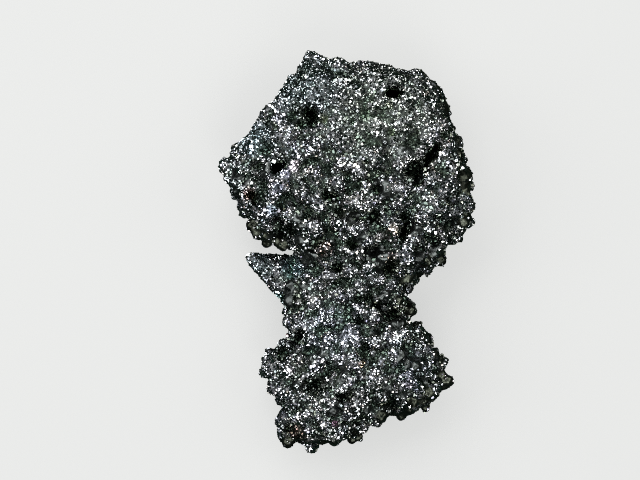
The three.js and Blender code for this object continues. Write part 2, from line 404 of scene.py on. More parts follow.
# %% Knobs on the rim
TIPS = (
    # middle, radius
    (-4.7, 26.2, 9.4, 1.1), (9.8, 23.6, 9.6, 1.0), (-16.2, 11.3, 8.8, 1.1), (-12.3, 16.3, 9.2, 0.8),
    (-10.1, 19.6, 9.0, 0.8), (-8.9, 20.9, 9.2, 0.8), (-13.2, 3.2, 7.6, 0.8), (-12.2, 2.2, 7.4, 0.7),
    (16.7, 10.4, 8.6, 0.65), (16.6, 9.0, 8.4, 0.65), (16.8, 6.4, 8.4, 0.75), (16.6, 3.9, 8.2, 0.8),
    (15.6, 2.6, 8.0, 0.65), (13.0, -0.8, 7.4, 0.75), (11.1, -2.2, 7.2, 0.75), (9.9, -3.3, 7.0, 0.65),
    (8.6, -4.6, 6.8, 0.7), (8.7, -8.1, 6.8, 1.0), (-10.3, -15.1, 6.2, 1.1),
    (-9.8, -19.0, 6.0, 1.1), (-8.2, -24.2, 5.8, 1.1), (-8.0, -26.0, 5.6, 1.0), (-4.9, -26.8, 5.8, 1.0),
    (0.7, -26.1, 5.6, 0.9), (8.0, -22.3, 5.8, 0.9), (10.6, -20.8, 6.0, 1.0), (12.1, -19.2, 6.0, 1.0),
    (12.5, -15.6, 6.6, 0.8), (10.7, -12.9, 6.6, 0.8), (9.7, -10.5, 6.6, 0.9),
)
middles = np.concatenate([middles, [tip[:3] for tip in TIPS]])
radii = np.concatenate([radii, [tip[3] for tip in TIPS]])
print("knobs placed by hand:", len(KNOBS), "on the front and", len(TIPS), "on the rim")

# %% [markdown]
# ## Room for the lumps
# The balls would make the stone too big if they were simply added. So the skin sinks first, more where
# the crust is wild and deeply creased, less on the sides, and hardly at all on the spur. The broken face
# stays level.

# %% Sink the skin and melt the big lumps in
CALM_SINK, WILD_SINK = 0.5, 1.1
SIDE_SINK = 0.45
FACING_UP = (0.1, 0.7)
SPUR_SINK = 0.15
BROKEN_FACE = 0.02
LUMPY_VOXEL = 0.36

spots, normals = spots_and_normals(skin)
sink = CALM_SINK + (WILD_SINK - CALM_SINK) * wildness(spots)
sink *= SIDE_SINK + (1 - SIDE_SINK) * ramp(normals[:, 2], *FACING_UP)
sink = SPUR_SINK + (sink - SPUR_SINK) * off_the_spur(spots)
sunken = spots - normals * sink[:, None]
sunken[spots[:, 2] < BROKEN_FACE, 2] = 0
skin.vertices.foreach_set("co", sunken.astype(np.float32).ravel())
lumpy = melted(skin, under_the_crown(middles, radii), radii, LUMPY_VOXEL)

# %% [markdown]
# ## The small lumps
# Each big lump carries small ones, 0.8 to 2 mm across. They are set in after the first melt, so that they
# sit on the big lumps and not inside them. The second melt makes smaller faces than the first, because
# the creases between small lumps are narrower. Where the crust is wild the small lumps are larger and
# prouder.

# %% Set the small lumps and melt them in
SMALL_DARTS = 12000
SMALL_ROOM = (0.36, 0.62)
SMALL_OVERLAP = 1.1
WILD_ROOM = 1.45
SMALL_PROUD, SMALL_CALM_PART, SMALL_PROUD_VARIES = 0.8, 0.55, (0.4, 1.3)
GROUND_VOXEL = 0.3

middles, facings, _ = thrown(lumpy, SMALL_DARTS)
wild = wildness(middles)
rooms = dice.uniform(*SMALL_ROOM, SMALL_DARTS) * (1 + (WILD_ROOM - 1) * wild)
kept = kept_apart(middles, rooms)
kept = kept[middles[kept, 2] > ABOVE_THE_BREAK]
radii = rooms[kept] * SMALL_OVERLAP
proud = SMALL_PROUD * (SMALL_CALM_PART + (1 - SMALL_CALM_PART) * wild[kept])
proud *= dice.uniform(*SMALL_PROUD_VARIES, len(kept))
middles = under_the_crown(middles[kept] - facings[kept] * (radii * (1 - proud))[:, None], radii)
ground = melted(lumpy, middles, radii, GROUND_VOXEL)

# %% [markdown]
# ## No two lumps alike
# Lumps that grew side by side differ: one is bright and the next is dull, one is coarse and the next is
# fine. Some stayed satin smooth, and along the rim at the right and the foot most of them did, so that
# they look like dark olive beads. A colour that drifts over the whole stone would blur these borders, so
# each lump draws its own numbers, and a search tree tells every grain which lump it lies on.

# %% Which lumps lie on the rim
RIM_WIDTH = 1.3
RIM_WAYS = ((1, 0), (0.7, -0.7), (0.4, -0.9))


def on_the_rim(spots):
    """Whether the stone, seen from above, ends within the rim's width to the right or towards the foot."""
    ends = np.zeros(len(spots), bool)
    for way_x, way_y in RIM_WAYS:
        for i, (x, y, _) in enumerate(spots):
            over = Vector((x + RIM_WIDTH * way_x, y + RIM_WIDTH * way_y, HIGH_ABOVE))
            ends[i] |= front.ray_cast(over, Vector((0, 0, -1)))[0] is None
    return ends


rim = on_the_rim(middles)
print("lumps on the rim:", int(rim.sum()))

# %% What each small lump is like
SATIN_SHARE, RIM_SATIN_SHARE = 0.14, 0.62
LUMP_SHADES = (0.6, 1.3)
LUMP_GRAINS = (0.8, 1.2)

satin = dice.random(len(middles)) < np.where(rim, RIM_SATIN_SHARE, SATIN_SHARE * wildness(middles))
lump_shades = dice.uniform(*LUMP_SHADES, len(middles))
lump_grains = dice.uniform(*LUMP_GRAINS, len(middles))
lumps = KDTree(len(middles))
for i, middle in enumerate(middles):
    lumps.insert(middle, i)
lumps.balance()


def lump_at(spots):
    """The number of the lump that each spot lies on."""
    return np.array([lumps.find(spot)[1] for spot in spots.tolist()])


print("satin lumps:", int(satin.sum()), "of", len(satin), "and on the rim", int(satin[rim].sum()))

# %% [markdown]
# ## Pits, and a still finer swell
# Small dark pits are left where lumps grew apart. They could be cut out with balls, but pressing the skin
# in from the front keeps its faces even, and gives each pit a soft lip. Between the balls and the grains
# there is one more size of swell, and there a height pattern is good enough.

# %% The pits
PITS = (
    # where on the front, radius, depth
    (-4.9, 18.5, 1.1, 2.2), (-4.7, 17.3, 0.8, 1.6), (-7.4, 18.0, 1.1, 0.7), (-6.2, 16.8, 1.0, 1.0),
    (5.6, 21.0, 0.8, 1.6), (6.7, 21.1, 0.8, 1.5), (8.2, 9.4, 0.9, 0.9),
    (7.6, 4.6, 0.7, 1.3), (7.4, 3.2, 0.6, 1.2), (7.3, 2.0, 0.6, 1.0),
    (-8.5, 11.5, 0.9, 0.8), (-11.8, 11.3, 1.0, 1.3),
    (-12.8, 7.3, 1.0, 1.4), (-3.0, 7.3, 1.0, 1.6), (-1.9, 7.3, 1.0, 1.6), (3.9, 8.2, 0.9, 1.2),
    (0.2, 9.5, 0.7, 0.8), (2.4, 11.9, 0.6, 0.6), (-5.3, 5.0, 0.9, 1.1), (-1.2, 4.9, 1.0, 1.2),
    (3.5, 4.6, 1.0, 1.4), (-7.4, 3.0, 1.0, 1.2), (-8.8, 2.4, 0.9, 1.0), (-4.6, 0.6, 0.7, 0.6),
    (0.6, 0.8, 1.0, 1.2), (3.4, 0.2, 0.9, 1.0), (9.6, 0.2, 1.1, 1.2), (12.0, 1.4, 0.9, 1.0),
    (-1.9, -2.2, 0.7, 0.7), (5.8, -2.0, 1.0, 1.2), (1.4, -6.3, 1.1, 1.3),
    (3.0, -6.4, 0.9, 0.9), (5.6, -6.8, 1.1, 1.0), (8.0, -7.2, 0.9, 0.8), (1.6, -9.6, 0.8, 0.9),
    (2.3, -12.8, 0.8, 0.9), (-8.8, -14.2, 1.1, 0.8), (-6.2, -11.4, 1.1, 0.7), (-5.4, -17.6, 0.6, 0.5),
    (-2.6, -18.6, 0.9, 0.9), (7.6, -17.1, 0.6, 0.6), (0.7, -16.2, 0.7, 1.0),
    (-3.0, -20.8, 0.8, 0.9), (1.4, -23.0, 1.0, 0.9), (-7.6, -24.5, 0.9, 0.8), (6.2, -20.6, 0.9, 1.1),
    (11.6, -16.2, 0.7, 0.7), (12.6, 6.2, 0.8, 0.9), (14.4, 8.6, 0.6, 0.6), (-9.6, 16.4, 0.7, 0.6),
    (0.6, 17.2, 0.5, 0.5), (12.9, 15.4, 0.9, 1.0),
)

# %% Press the pits and the swell in
PIT_REACH, PIT_MIDDLE, PIT_LIP = 4.0, 0.6, 1.5
FINE_PITCH, FINE_RISE, FINE_REACH = 0.75, 0.16, 0.8
FLAT_BACK, FACING_DOWN = 0.3, -0.6

spots, normals = spots_and_normals(ground)
pitted = np.zeros(len(spots))
for x, y, radius, depth in PITS:
    out = np.hypot(spots[:, 0] - x, spots[:, 1] - y) / radius
    top = spots[out < PIT_MIDDLE, 2].max()
    inside = (out < 1) & (spots[:, 2] > top - PIT_REACH)
    spots[inside, 2] -= depth * (1 - out[inside] ** 2) ** PIT_LIP
    pitted[inside] = np.maximum(pitted[inside], 1 - out[inside] ** 2)
ways, _ = nearest_middle(spots, FINE_PITCH, salt=10)
sink = FINE_RISE * np.minimum(1, np.linalg.norm(ways, axis=1) / FINE_REACH) ** 2
broken = (spots[:, 2] < FLAT_BACK) & (normals[:, 2] < FACING_DOWN)
sink[broken] = 0
spots -= normals * sink[:, None]
print("pits:", len(PITS), "and the swell is", FINE_RISE, "mm deep")

# %% [markdown]
# ## The broken back
# The stone grew out from the wall of a cavity and broke off it. Its fibres fan out from the wall, so it
# breaks in small tilted facets, dull and reddish where they are bruised. Each facet could be cut with a
# plane of its own, but a height and a tilt for each cell of a packing give the same facets with the
# vertices that are already there. The lowest points of the break still carry the stone, so the relief
# only goes up from there.

# %% Break it
HACKLE_PITCH = 1.9
HACKLE_RISE, HACKLE_LOW = 0.55, 0.3
HACKLE_TILT = 0.5

level = spots[broken] * (1, 1, 0)
ways, owners = nearest_middle(level, HACKLE_PITCH, salt=40)
rise = HACKLE_RISE * (lattice_number(owners, salt=44) - HACKLE_LOW)
for axis in range(2):
    rise += HACKLE_TILT * 2 * (lattice_number(owners, salt=45 + axis) - 0.5) * ways[:, axis]
spots[broken, 2] = rise
spots[:, 2] = np.maximum(spots[:, 2], 0)
ground.vertices.foreach_set("co", spots.astype(np.float32).ravel())
ground.update()
print("the break has", int(broken.sum()), "vertices, up to", round(rise.max(), 2), "mm deep")


# %% [markdown]
# ## How proud each place stands
# Light reaches the crest of a lump and hardly the crease beside it. So the tint of a grain is darkened by
# how low its place stands, as painted shade in the creases, and its gloss is duller there, where dust and
# dull oxide gather. A shader can find creases too, but only while it renders, and only very narrow ones.
# Here the skin is measured against a copy that is smoothed until its lumps are gone.

# %% Measure it
BIG_ROUNDS, SMALL_ROUNDS = 70, 9
PIT_SHADE_AND_DULLNESS = 0.2


def averaged(spots, edges, rounds):
    """The vertices after each has moved again and again to the middle of its neighbours."""
    count = len(spots)
    ends = np.concatenate([edges, edges[:, ::-1]])
    near = np.bincount(ends[:, 0], minlength=count)
    for _ in range(rounds):
        total = [np.bincount(ends[:, 0], spots[ends[:, 1], axis], count) for axis in range(3)]
        spots = np.stack(total, 1) / near[:, None]
    return spots


spots, normals = spots_and_normals(ground)
edges = numbers(ground.edges, "vertices", 2, np.int32)
proud = np.stack([
    ((spots - averaged(spots, edges, rounds)) * normals).sum(1) for rounds in (BIG_ROUNDS, SMALL_ROUNDS)
], 1)
# Pits count as lower than they are, which adds painted shade to their tint and dulls their gloss.
proud[:, 0] -= PIT_SHADE_AND_DULLNESS * pitted
proud_by = np.percentile(proud, (5, 25, 50, 75, 95), axis=0)
print("big and small lumps stand proud by", np.round(proud_by, 2), "mm")

# %% [markdown]
# ## Where the grains sit
# A grain grows wherever there is room for it, so the same darts serve again with much smaller rooms. The
# crystals that show their faces are placed first, and then grit fills the gaps between them. Here and
# there the crust is worn or overgrown, and the smooth skin shows.

# %% Worn patches
SMOOTH_PATCHES = (
    # where on the front, radius
    (6.0, 6.3, 1.1), (5.3, 14.5, 1.0), (3.3, 16.6, 0.9), (-3.1, 17.2, 1.2), (1.5, 24.9, 1.4),
    (4.5, 24.6, 1.4), (8.0, 24.4, 1.4), (10.6, 23.6, 1.2), (12.8, 18.6, 1.2), (13.6, 16.6, 1.0),
    (-7.0, -25.0, 1.4), (-3.4, 10.6, 0.9), (6.9, 12.4, 0.8), (4.0, 2.0, 1.0), (-9.0, -22.0, 1.0),
)
# Where a patch ends and where it is whole, in radii.
SMOOTH_EDGE = (1.1, 0.7)


def patch(places, facings, x, y, radius, edge):
    """One in a round patch on the front, nought outside it, and a soft edge between."""
    out = np.hypot(places[:, 0] - x, places[:, 1] - y) / radius
    return (facings[:, 2] > 0) * ramp(-out, -edge[0], -edge[1])


# %% Throw darts for the grains
GRAIN_DARTS = 520000
CRYSTAL_ROOM = (0.11, 0.2)
GRIT_ROOM = (0.08, 0.11)
CRYSTAL_SHARE = 0.22
BARE_SIZE, BARE_EDGES, BARE_SHARE = 2.6, (0.72, 0.8), 0.6
STRAY_SHARE = 0.02

places, facings, darts = thrown(ground, GRAIN_DARTS)
lift = at(darts, proud)
smooth = ramp(drift(places, BARE_SIZE, salt=81), *BARE_EDGES)
for x, y, radius in SMOOTH_PATCHES:
    smooth = np.maximum(smooth, patch(places, facings, x, y, radius, SMOOTH_EDGE))
clear = (places[:, 2] > FLAT_BACK) & (dice.random(GRAIN_DARTS) > BARE_SHARE * smooth)
crystal = dice.random(GRAIN_DARTS) < CRYSTAL_SHARE * (1 - smooth)
rooms = np.where(crystal, dice.uniform(*CRYSTAL_ROOM, GRAIN_DARTS), dice.uniform(*GRIT_ROOM, GRAIN_DARTS))
lump = lump_at(places)
clear &= ~satin[lump] | (dice.random(GRAIN_DARTS) < STRAY_SHARE)
rooms *= lump_grains[lump]
order = np.argsort(~crystal, kind="stable")
order = order[clear[order]]
kept = order[kept_apart(places[order], rooms[order])]
places, facings, lift, rooms = places[kept], facings[kept], lift[kept], rooms[kept]
crystal, shades = crystal[kept], lump_shades[lump[kept]]
print("grains:", len(places), "of which", int(crystal.sum()), "are crystals")

# %% [markdown]
# ## The grains
# Each grain is a tiny crystal with flat faces. Flat faces are what make the stone sparkle: a round bead
# shows one small highlight, but a face that happens to meet a lamp lights up from edge to edge, and its
# neighbour stays black. Three simple forms are mixed, each turned and stretched at random: a knuckle with
# twenty faces, a skewed box like a rhombohedron, and a double pyramid. All are pressed a little flat
# against the skin, as crowded crystals are, so that a lump still has a light side and a dark side.

# %% The forms that a grain can take
BOX_HALF, BOX_DRAWN = 0.62, 0.22


def knuckle():
    """An icosahedron: twelve corners and twenty faces."""
    return ball_form(1)


def skewed_box():
    """A rhombohedron: a cube drawn out along one of its long diagonals."""
    corners = np.array([(x, y, z) for x in (-1, 1) for y in (-1, 1) for z in (-1, 1)]) * BOX_HALF
    diagonal = np.ones(3) / math.sqrt(3)
    corners = corners + BOX_DRAWN * (corners @ diagonal)[:, None] * diagonal
    faces = [(0, 1, 3, 2), (4, 6, 7, 5), (0, 4, 5, 1), (2, 3, 7, 6), (0, 2, 6, 4), (1, 5, 7, 3)]
    return corners, faces


def double_pyramid():
    """Six corners and eight faces."""
    corners = np.concatenate([np.eye(3), -np.eye(3)])
    faces = []
    for x in (0, 3):
        for y in (1, 4):
            for z in (2, 5):
                turned = (x > 0) ^ (y > 1) ^ (z > 2)
                faces.append((x, z, y) if turned else (x, y, z))
    return corners, faces


# %% Turn, stretch and press the grains
GRAIN_STRETCH, FLATNESS = (0.8, 1.25), 0.78


def random_turns(count):
    """Rotation matrices in every direction alike, from random quaternions."""
    w, x, y, z = unit(dice.normal(size=(count, 4))).T
    rows = [
        [1 - 2 * (y * y + z * z), 2 * (x * y - z * w), 2 * (x * z + y * w)],
        [2 * (x * y + z * w), 1 - 2 * (x * x + z * z), 2 * (y * z - x * w)],
        [2 * (x * z - y * w), 2 * (y * z + x * w), 1 - 2 * (x * x + y * y)],
    ]
    return np.stack([np.stack(row, 1) for row in rows], 1)


def grown(form, jitter, middles, facings, radii):
    """The corners of all grains of one form."""
    corners, _ = form
    count = len(middles)
    stretch = dice.uniform(*GRAIN_STRETCH, (count, 1, 3))
    shaken = corners[None] + dice.normal(0, jitter, (count, len(corners), 3))
    placed = np.einsum("nij,nkj->nki", random_turns(count), shaken * stretch)
    height = np.einsum("nkj,nj->nk", placed, facings)
    placed -= (1 - FLATNESS) * height[:, :, None] * facings[:, None]
    return placed * radii[:, None, None] + middles[:, None]


# %% [markdown]
# ## The tint of each grain
# Clean hematite is a bright steel grey. On the stone it drifts towards blue, green and brown where thin
# films lie on it, and a few spots hold rusty, olive or pinkish grains. Other patches make the crust only
# brighter or darker, and on the ridge at the left of the block the pale ones are painted highlights. The
# hollows and pits get a near black tint that is painted shade: pits alone would be too bright there, since
# grains on their walls still catch a lamp, so the dark places have a list of their own. A picture could
# be laid over the stone, but it would smear across the grains. So every grain carries its own colour, and
# neighbours never look alike.

# %% Clean metal and its films
STEEL = np.array((0.25, 0.258, 0.268))
FILMS = np.array([
    # violet blue, teal, olive, brown
    (0.23, 0.22, 0.36),
    (0.20, 0.255, 0.27),
    (0.24, 0.25, 0.17),
    (0.32, 0.24, 0.20),
])
FILM_SIZE, FILM_EDGES, FILM_STRENGTH = 2.2, (0.5, 0.9), 0.3
FILM_STRAYS = (0.25, 4)

# %% Flecks, stains, painted highlights, and brighter and darker patches
FLECKS_AND_PAINTED_LIGHT = (
    # where on the front, radius, colour
    (10.4, 21.1, 0.5, (0.75, 0.60, 0.60)), (-3.2, 17.6, 0.7, (0.24, 0.27, 0.12)),
    (5.5, 19.3, 0.6, (0.25, 0.27, 0.13)), (5.7, 15.8, 0.6, (0.24, 0.27, 0.13)),
    (-3.2, 0.4, 1.4, (0.12, 0.08, 0.065)), (5.5, -1.7, 1.6, (0.14, 0.10, 0.075)),
    (6.1, 2.9, 0.9, (0.28, 0.235, 0.19)), (8.2, -17.6, 0.9, (0.15, 0.085, 0.105)),
    (2.0, -15.1, 0.5, (0.26, 0.17, 0.09)), (-8.6, -11.7, 0.5, (0.55, 0.28, 0.32)),
    (-1.6, -23.3, 0.5, (0.45, 0.16, 0.36)), (13.4, -16.8, 0.5, (0.30, 0.18, 0.42)),
    (-7.0, -25.0, 1.4, (0.25, 0.13, 0.11)), (-9.5, -6.6, 0.9, (0.12, 0.27, 0.26)),
    # Painted highlights on the crest of the ridge: (-7.1, 11.2), (-8.2, 10.2), (-10.1, 5.4) and (-9.3, 8.4).
    (-13.2, 7.6, 0.9, (0.24, 0.10, 0.09)), (-7.1, 11.2, 0.8, (0.85, 0.76, 0.84)),
    (-8.2, 10.2, 0.8, (0.33, 0.33, 0.42)), (-10.1, 5.4, 0.8, (0.66, 0.74, 0.86)),
    (-9.3, 8.4, 0.9, (0.26, 0.28, 0.35)), (9.0, -16.0, 2.6, (0.33, 0.35, 0.41)),
    # Brighter patches: (9.0, -16.0) on the lobe, and painted light at the waist from here to (-2.0, -10.6).
    (-7.6, -2.4, 1.6, (0.32, 0.44, 0.50)), (2.6, -2.4, 2.4, (0.33, 0.34, 0.35)),
    (-2.0, -10.6, 4.0, (0.31, 0.33, 0.375)),
    # Darker patches, from here to the end of the list.
    (-11.8, -2.0, 2.0, (0.15, 0.185, 0.185)), (-12.4, 15.0, 2.6, (0.19, 0.24, 0.26)),
    (-5.6, 21.4, 4.8, (0.165, 0.195, 0.20)), (4.8, 18.4, 7.0, (0.19, 0.205, 0.185)),
    (-14.6, 10.0, 2.0, (0.17, 0.20, 0.19)),
)
FLECK_EDGE = (1.3, 0.5)

# %% Dark places: painted shade
# Painted shade: a near black tint for hollows and pits, where grains still catch a lamp.
PAINTED_SHADE = (0.04, 0.05, 0.036)
PAINTED_SHADE_PLACES = (
    # where on the front, radius
    (-6.4, 18.0, 1.7), (-4.9, 18.3, 1.1), (6.2, 21.2, 1.0), (-9.0, 12.1, 1.3), (-12.0, 11.4, 1.1),
    (12.0, 13.8, 0.8), (11.0, 12.5, 0.9), (9.6, 11.2, 1.5), (8.2, 9.6, 1.2), (7.6, 4.6, 0.9),
    (7.4, 2.6, 0.9), (-2.4, 7.6, 1.4), (-12.8, 7.2, 1.1), (4.2, 8.4, 1.0), (-1.0, 5.0, 0.9), (3.6, 4.6, 1.0),
    (-8.2, 2.6, 1.4), (-4.6, 1.0, 0.9), (0.6, 0.8, 1.0), (9.8, 0.4, 1.1),
    (-1.2, -2.2, 0.9), (6.0, -2.0, 1.2), (-7.6, -6.4, 1.0), (2.6, -6.4, 1.0), (6.6, -8.2, 1.6),
    (1.6, -9.4, 0.7), (-6.4, -11.6, 1.3), (-8.9, -13.9, 1.2), (-4.2, -18.4, 1.6), (0.3, -19.2, 1.0),
    (-7.4, -24.9, 1.8), (-3.0, -25.4, 1.6), (0.8, -25.2, 1.2), (6.8, -20.9, 1.2), (3.0, 0.2, 0.9),
)
PAINTED_SHADE_EDGE = (1.3, 0.6)

PATCHES = [(*fleck, FLECK_EDGE) for fleck in FLECKS_AND_PAINTED_LIGHT]
PATCHES += [(*place, PAINTED_SHADE, PAINTED_SHADE_EDGE) for place in PAINTED_SHADE_PLACES]
print("patches with a tint of their own:", len(PATCHES))

# %% Stain the metal
PATCH_MIX = (0.3, 1)


def mixed(colour, other, part):
    """A colour for each place, moved part of the way to another."""
    return colour + (np.array(other) - colour) * part[:, None]


def stained_and_painted_light(middles, facings):
    """Clean metal under thin films, with patches by place, some of them painted highlights and shade."""
    count = len(middles)
    colour = np.repeat(STEEL[None], count, 0)
    for i, film in enumerate(FILMS):
        film_here = ramp(drift(middles, FILM_SIZE, salt=30 + i), *FILM_EDGES)
        film_here *= dice.uniform(0, FILM_STRENGTH, count)
        colour = mixed(colour, film, np.maximum(film_here, dice.beta(*FILM_STRAYS, count)))
    for x, y, radius, tint, edge in PATCHES:
        here = patch(middles, facings, x, y, radius, edge) * dice.uniform(*PATCH_MIX, count)
        colour = mixed(colour, tint, here)
    return colour


# %% [markdown]
# ## Crests, creases and flanks
# The tint is dimmed by how low each place stands, as painted shade in the creases. The steep flanks at the
# right get a dark olive tint, partly their own olive skin and partly painted shade, and there is little of
# it at the left. Lamps alone could darken them, but only for one view, so the olive is a tint. What is
# dimmed is also rough.

# %% Dim the creases and the flanks
# Painted shade: the darkest the tint gets, deep in the creases, a little green there.
CREASE_SHADE = (0.195, 0.26, 0.2)
CREASES, CRESTS = (-0.55, -0.12), (0.15, 0.08)
CREASE_PART = 0.25
# A dark olive for the steep flanks, partly their own olive skin and partly painted shade.
FLANK_OLIVE_AND_SHADE = (0.055, 0.062, 0.04)
FLANK_STRENGTH, LEFT_FLANK_PART = 0.85, 0.25
FLANK_SPAN, FLANK_SWAY, FLANK_SWAY_SIZE = (-14, 6), 5, 4
STEEP = (-0.5, -0.1)
GRAIN_SHADES = (0.7, 1.3)
SHARPEST, ROUGH_SPREAD, ROUGH_LEAN = 0.02, 0.2, (1.2, 2.6)
DULL_ROUGHNESS, FLANK_ROUGHNESS = 0.2, 0.8


def right_of_the_middle(spots):
    """Nought at the left edge of the stone, one in its right half."""
    return ramp(spots[:, 0] + FLANK_SWAY * (drift(spots, FLANK_SWAY_SIZE, salt=61) - 0.5), *FLANK_SPAN)


def tint_of(middles, facings, lift):
    """Colour and roughness of the crust here, with painted shade in creases and on flanks."""
    count = len(middles)
    colour = stained_and_painted_light(middles, facings)
    # Painted shade: the tint darkens where the place stands low, first by the big lumps, then by the small.
    lit_and_clean = ramp(lift[:, 0], CREASES[0], CRESTS[0])
    lit_and_clean *= CREASE_PART + (1 - CREASE_PART) * ramp(lift[:, 1], CREASES[1], CRESTS[1])
    # Painted shade and olive skin on the steep flanks, strongest at the right.
    flank_olive_and_shade = LEFT_FLANK_PART + (1 - LEFT_FLANK_PART) * right_of_the_middle(middles)
    flank_olive_and_shade *= ramp(-facings[:, 2], *STEEP)
    colour = mixed(colour, FLANK_OLIVE_AND_SHADE, FLANK_STRENGTH * flank_olive_and_shade)
    colour *= np.array(CREASE_SHADE) + (1 - np.array(CREASE_SHADE)) * lit_and_clean[:, None]
    colour *= dice.uniform(*GRAIN_SHADES, (count, 1))
    rough = dice.beta(*ROUGH_LEAN, count) * ROUGH_SPREAD + SHARPEST
    rough += DULL_ROUGHNESS * np.maximum(1 - lit_and_clean, FLANK_ROUGHNESS * flank_olive_and_shade)
    return np.concatenate([np.clip(colour, 0, 1), rough[:, None]], 1)


# %% [markdown]
# ## A map for each grain
# For the stone's colours to be baked into pictures, each face needs a place on a map. An automatic
# unwrap of so many loose faces takes minutes and wastes most of the map.
# Here every grain gets one tile, and each of its faces gets a small patch in that tile, which is enough
# because a grain has one colour all over.

# %% Build a mesh from arrays
TILE_PATCH = 0.3
MAP_NAME = "OFBake"


def mesh_from(name, corners, faces, owners):
    """A mesh from corners in mm, arrays of faces, and the number of the grain that owns each face."""
    mesh = bpy.data.meshes.new(name)
    mesh.vertices.add(len(corners))
    mesh.vertices.foreach_set("co", (corners * MM).astype(np.float32).ravel())
    loops = np.concatenate([rows.ravel() for rows in faces])
    sides = np.concatenate([np.full(len(rows), rows.shape[1]) for rows in faces])
    mesh.loops.add(len(loops))
    mesh.loops.foreach_set("vertex_index", loops.astype(np.int32))
    mesh.polygons.add(len(sides))
    mesh.polygons.foreach_set("loop_start", (np.cumsum(sides) - sides).astype(np.int32))
    mesh.update(calc_edges=True)
    owner = np.repeat(np.concatenate(owners), sides)
    turn = np.concatenate([np.tile(np.arange(rows.shape[1]) / rows.shape[1], len(rows)) for rows in faces])
    across = math.ceil(math.sqrt(owner.max() + 1))
    tile = np.stack([owner % across, owner // across], 1) + 0.5
    within = TILE_PATCH * np.stack([np.cos(2 * np.pi * turn), np.sin(2 * np.pi * turn)], 1)
    layer = mesh.uv_layers.new(name=MAP_NAME)
    layer.data.foreach_set("uv", ((tile + within) / across).astype(np.float32).ravel())
    return mesh


# %% Make a mesh a piece
def tinted(name, mesh, tints):
    """A piece whose vertices carry a colour, and a roughness as its fourth number."""
    layer = mesh.attributes.new("tint", "FLOAT_COLOR", "POINT")
    layer.data.foreach_set("color", tints.astype(np.float32).ravel())
    return linked(name, mesh)


def triangles(piece):
    """How many triangles a piece has."""
    sides = numbers(piece.data.polygons, "loop_total", 1, np.int32)
    return int((sides - 2).sum())


# %% [markdown]
# ## The crust in slices
# A crust of one piece would be slow to open and to bake, so it is cut into slices from foot to crown.
# Every grain draws its form, its size and how deep it sits. The grains near the floor are lifted clear of
# it, because the stone rests on its broken back and not on its crust.

# %% Grow one slice of the crust
GRAIN_REACH, REACH_VARIES = 1.3, (0.85, 1.25)
GRAIN_RISE = (-0.15, 0.3)
FLOOR_CLEARANCE, FLOOR_GAP = 1.25, 0.02
FORMS = (
    # form, share, and how much its corners are shaken
    (double_pyramid(), 0.44, 0.12),
    (skewed_box(), 0.38, 0.03),
    (knuckle(), 0.18, 0.10),
)


def crust(name, rows):
    """One slice of the crust, from the grains with these numbers."""
    kinds = dice.choice(len(FORMS), len(rows), p=[share for _, share, _ in FORMS])
    corners, faces, owners, tints = [], [], [], []
    first = 0
    grain = 0
    for kind, (form, _, jitter) in enumerate(FORMS):
        mine = rows[kinds == kind]
        radii = rooms[mine] * GRAIN_REACH * dice.uniform(*REACH_VARIES, len(mine))
        middles = places[mine] + facings[mine] * (radii * dice.uniform(*GRAIN_RISE, len(mine)))[:, None]
        middles[:, 2] = np.maximum(middles[:, 2], radii * FLOOR_CLEARANCE + FLOOR_GAP)
        placed = grown(form, jitter, middles, facings[mine], radii)
        placed[:, :, 2] = np.maximum(placed[:, :, 2], 0)
        each = placed.shape[1]
        faces.append(copied(form[1], first + np.arange(len(mine)) * each))
        owners.append(np.repeat(grain + np.arange(len(mine)), len(form[1])))
        tint = tint_of(places[mine], facings[mine], lift[mine])
        tint[:, :3] *= shades[mine, None]
        tints.append(np.repeat(tint, each, 0))
        corners.append(placed.reshape(-1, 3))
        first += len(mine) * each
        grain += len(mine)
    mesh = mesh_from(name, np.concatenate(corners), faces, owners)
    mesh.shade_flat()
    return tinted(name, mesh, np.concatenate(tints))


# %% Grow all the slices, from foot to crown
SLICES = 6

crusts = []
for i, rows in enumerate(np.array_split(np.argsort(places[:, 1]), SLICES)):
    crusts.append(crust(f"grain_crust_{i + 1}", rows))
print("triangles in each slice:", [triangles(piece) for piece in crusts])

# %% [markdown]
# ## Smooth beads
# Not all of the hematite broke up into grains. Some small balls kept their skin, and each shows one round
# highlight, like a drop of black glass. They could be melted into the ground, but its faces are too
# coarse for a bead of a millimetre or less. So each is a fine ball of its own, squashed a little, and
# they sit where the stone shows them, with more set at random.

# %% Where the beads sit
BEADS = (
    # where on the front, radius
    (-1.2, 3.7, 0.75), (1.5, -24.1, 0.5), (-8.8, -24.2, 0.55), (-6.8, -18.2, 0.5), (-13.0, 6.4, 0.5),
    (1.3, 18.6, 0.35), (4.6, 9.9, 0.4), (9.4, 6.0, 0.45), (-6.1, 9.0, 0.4), (3.3, -4.2, 0.45),
    (-4.4, -14.2, 0.45), (6.0, -14.6, 0.4), (-11.0, 15.2, 0.35), (12.2, 12.0, 0.4), (0.4, 13.6, 0.35),
    (-2.6, -9.4, 0.45), (9.9, -12.9, 0.4), (-0.4, -16.8, 0.45), (4.4, -19.6, 0.45), (-10.1, -1.9, 0.35),
)
BEAD_PROUD, BEAD_LIFT = 0.35, 0.3
LOOSE_BEADS, LOOSE_SIZES = 90, (0.26, 0.48)
LOOSE_LIFT, LOOSE_ABOVE = 0.12, 1.0

